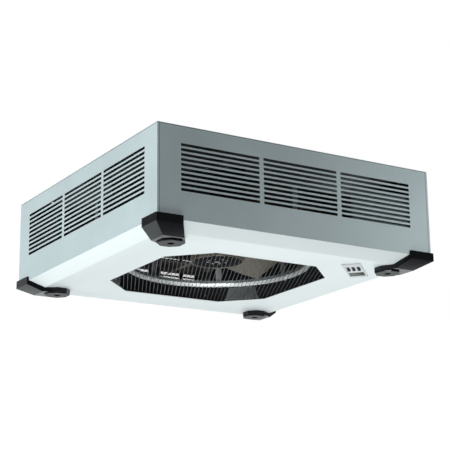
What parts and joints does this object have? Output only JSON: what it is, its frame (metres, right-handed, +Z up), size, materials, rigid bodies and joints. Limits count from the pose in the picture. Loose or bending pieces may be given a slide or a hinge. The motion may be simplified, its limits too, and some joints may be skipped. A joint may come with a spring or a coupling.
{
  "type": "ceiling fan heater",
  "caption": "Square ceiling fan heater: louvred casing, bottom panel with a guarded eight-sided outlet, axial fan on a short ring, finned heating elements and a small switch plate.",
  "frame": {"origin": "centre of the top plate's upper face, which lies on the ceiling", "axes": "+Z up into the ceiling, -Y towards the front wall, -X towards the left wall; the heater hangs below the origin"},
  "size_m": [0.6072, 0.6072, 0.1996],
  "materials": {
    "casing_paint": "satin powder coat",
    "panel_paint": "satin powder coat",
    "cap_plastic": "satin",
    "guard_wire": "satin",
    "galvanised": "zinc coated",
    "deck_paint": "satin",
    "basket_paint": "satin",
    "zinc": "zinc plated",
    "black_screw": "blackened",
    "motor_alloy": "machined",
    "core_steel": "laminated",
    "copper": "enamelled wire",
    "steel": "ground",
    "can_paint": "satin",
    "blade_alloy": "satin",
    "element_steel": "heat darkened",
    "block_plastic": "matte",
    "brass": "bright",
    "relay_plastic": "matte",
    "capacitor_case": "matte",
    "cutout_body": "matte",
    "reset_red": "gloss",
    "rubber": "matte",
    "gland_plastic": "matte",
    "plate_alloy": "satin",
    "rocker_plastic": "satin",
    "housing_plastic": "matte",
    "window_tint": "tinted",
    "board": "matte"
  },
  "bodies": {
    "housing": {"top_plate": "casing_paint", "side_front": "casing_paint", "side_right": "casing_paint", "side_back": "casing_paint", "side_left": "casing_paint", "casing_screws": "zinc", "bottom_panel": "panel_paint", "outlet_guard": "guard_wire", "guard_bracket_front_left": "galvanised", "guard_bracket_front_right": "galvanised", "guard_bracket_back_right": "galvanised", "guard_bracket_back_left": "galvanised", "corner_cap_front_left": "cap_plastic", "corner_cap_front_right": "cap_plastic", "corner_cap_back_right": "cap_plastic", "corner_cap_back_left": "cap_plastic", "panel_standoffs": "zinc", "standoff_screws": "black_screw", "deck_screws": "zinc", "fan_deck": "deck_paint", "fan_ring": "galvanised", "motor_basket": "basket_paint", "motor_screws": "zinc", "stator_housing": "motor_alloy", "stator_core": "core_steel", "stator_windings": "copper", "bearing_upper": "steel", "bearing_lower": "steel", "element_front": "element_steel", "element_right": "element_steel", "element_back": "element_steel", "element_left": "element_steel", "element_brackets_front": "galvanised", "element_brackets_right": "galvanised", "element_brackets_back": "galvanised", "element_brackets_left": "galvanised", "corner_plate_front_left": "deck_paint", "corner_plate_front_right": "galvanised", "corner_plate_back_right": "deck_paint", "corner_plate_back_left": "deck_paint", "box_lid": "galvanised", "terminal_block": "block_plastic", "terminal_screws": "brass", "contactor": "relay_plastic", "motor_capacitor": "capacitor_case", "thermal_cutout": "cutout_body", "cable_grommet": "rubber", "cable_gland": "gland_plastic", "control_plate": "plate_alloy", "switch_housings": "housing_plastic", "indicator_window": "window_tint", "indicator_board": "board"},
    "fan": {"impeller": "blade_alloy", "rotor_can": "can_paint", "rotor_ring": "motor_alloy", "motor_shaft": "steel"},
    "rocker_fan_body": {"rocker_fan": "rocker_plastic"},
    "rocker_low_heat_body": {"rocker_low_heat": "rocker_plastic"},
    "rocker_high_heat_body": {"rocker_high_heat": "rocker_plastic"},
    "reset_button_body": {"reset_button": "reset_red"}
  },
  "joints": [
    {"name": "fan_spin", "type": "hinge", "parent": "housing", "child": "fan", "pos_m": [0, 0, -0.12], "axis": [0, 0, 1], "continuous": true},
    {"name": "fan_switch", "type": "hinge", "parent": "housing", "child": "rocker_fan_body", "pos_m": [0.17392, -0.20221, -0.184], "axis": [0.7071, -0.7071, 0], "range_deg": [0, 14]},
    {"name": "low_heat_switch", "type": "hinge", "parent": "housing", "child": "rocker_low_heat_body", "pos_m": [0.18099, -0.20928, -0.184], "axis": [0.7071, -0.7071, 0], "range_deg": [0, 14]},
    {"name": "high_heat_switch", "type": "hinge", "parent": "housing", "child": "rocker_high_heat_body", "pos_m": [0.18807, -0.21635, -0.184], "axis": [0.7071, -0.7071, 0], "range_deg": [0, 14]},
    {"name": "cutout_reset", "type": "slide", "parent": "housing", "child": "reset_button_body", "axis": [-0.7071, 0.7071, 0], "range_m": [0, 0.0015], "stiffness_N_per_m": 300, "springref_m": -0.001}
  ]
}
